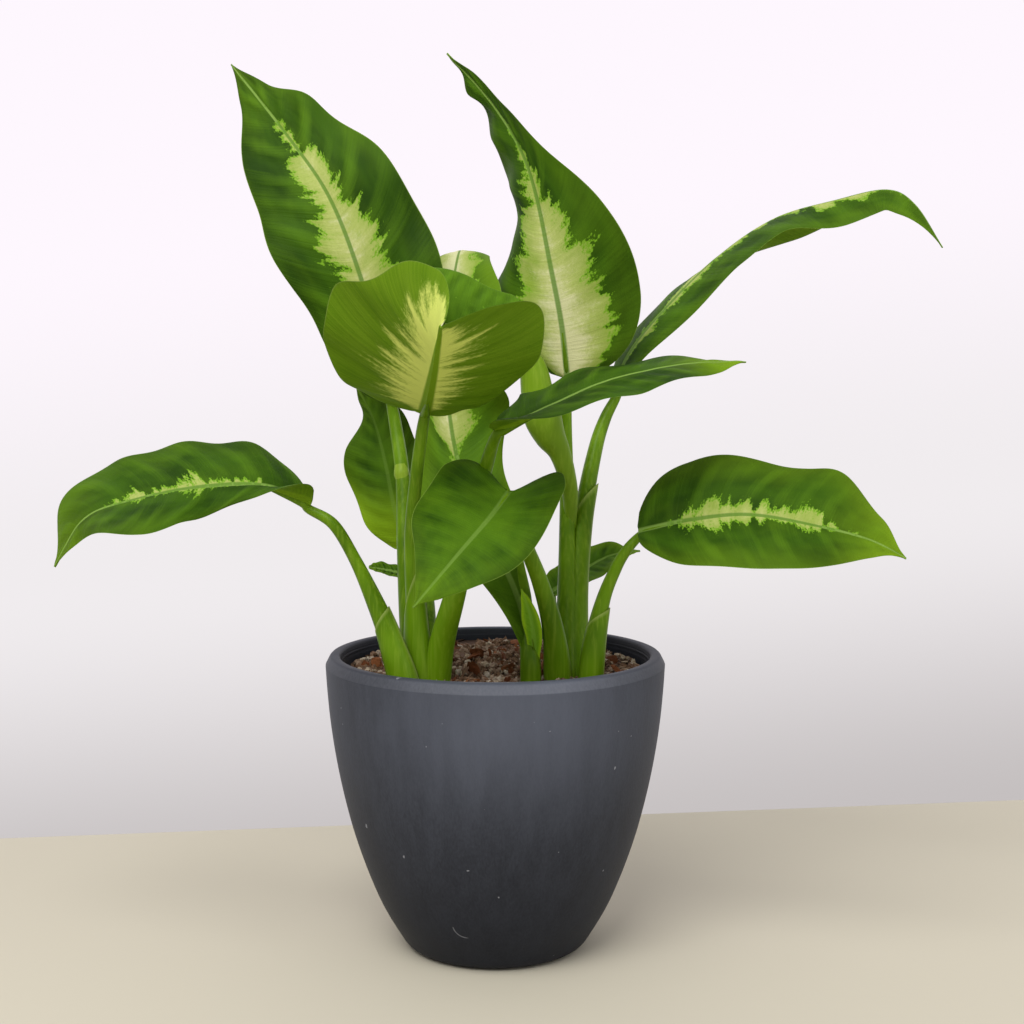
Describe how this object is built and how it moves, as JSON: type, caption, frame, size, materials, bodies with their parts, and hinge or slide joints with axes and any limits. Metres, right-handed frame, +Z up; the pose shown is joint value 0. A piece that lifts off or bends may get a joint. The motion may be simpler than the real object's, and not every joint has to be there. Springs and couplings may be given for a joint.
{
  "type": "potted dieffenbachia",
  "caption": "A young dieffenbachia with wide wavy leaves, splashed with cream along the middle, on fleshy green stalks in a round dark planter filled with potting mix",
  "frame": {"origin": "middle of the pot's flat underside", "axes": "+Z is up, along the pot's axis; -Y is the side seen in the picture; +X is to the viewer's right"},
  "size_m": [0.4131, 0.2276, 0.4364],
  "materials": {
    "pot": "matte blue-grey charcoal, faintly mottled",
    "soil": "loose brown bark and peat with white perlite",
    "stalk": "smooth fleshy green, satin",
    "leaf": "satin green with a cream splash along the midrib"
  },
  "bodies": {
    "root": {"pot": "pot", "soil": "soil", "left_crown": "stalk", "right_crown": "stalk", "right_stalk": "stalk", "left_stalk": "stalk", "centre_shoot": "stalk", "leaf_upper_left": "leaf", "leaf_upper_centre": "leaf", "leaf_centre": "leaf", "leaf_centre_back": "leaf", "leaf_heart": "leaf", "leaf_centre_right": "leaf", "leaf_long_right": "leaf", "leaf_right": "leaf", "leaf_left": "leaf", "leaf_left_middle": "leaf", "leaf_low_right": "leaf", "leaf_small_left": "leaf"}
  },
  "joints": []
}
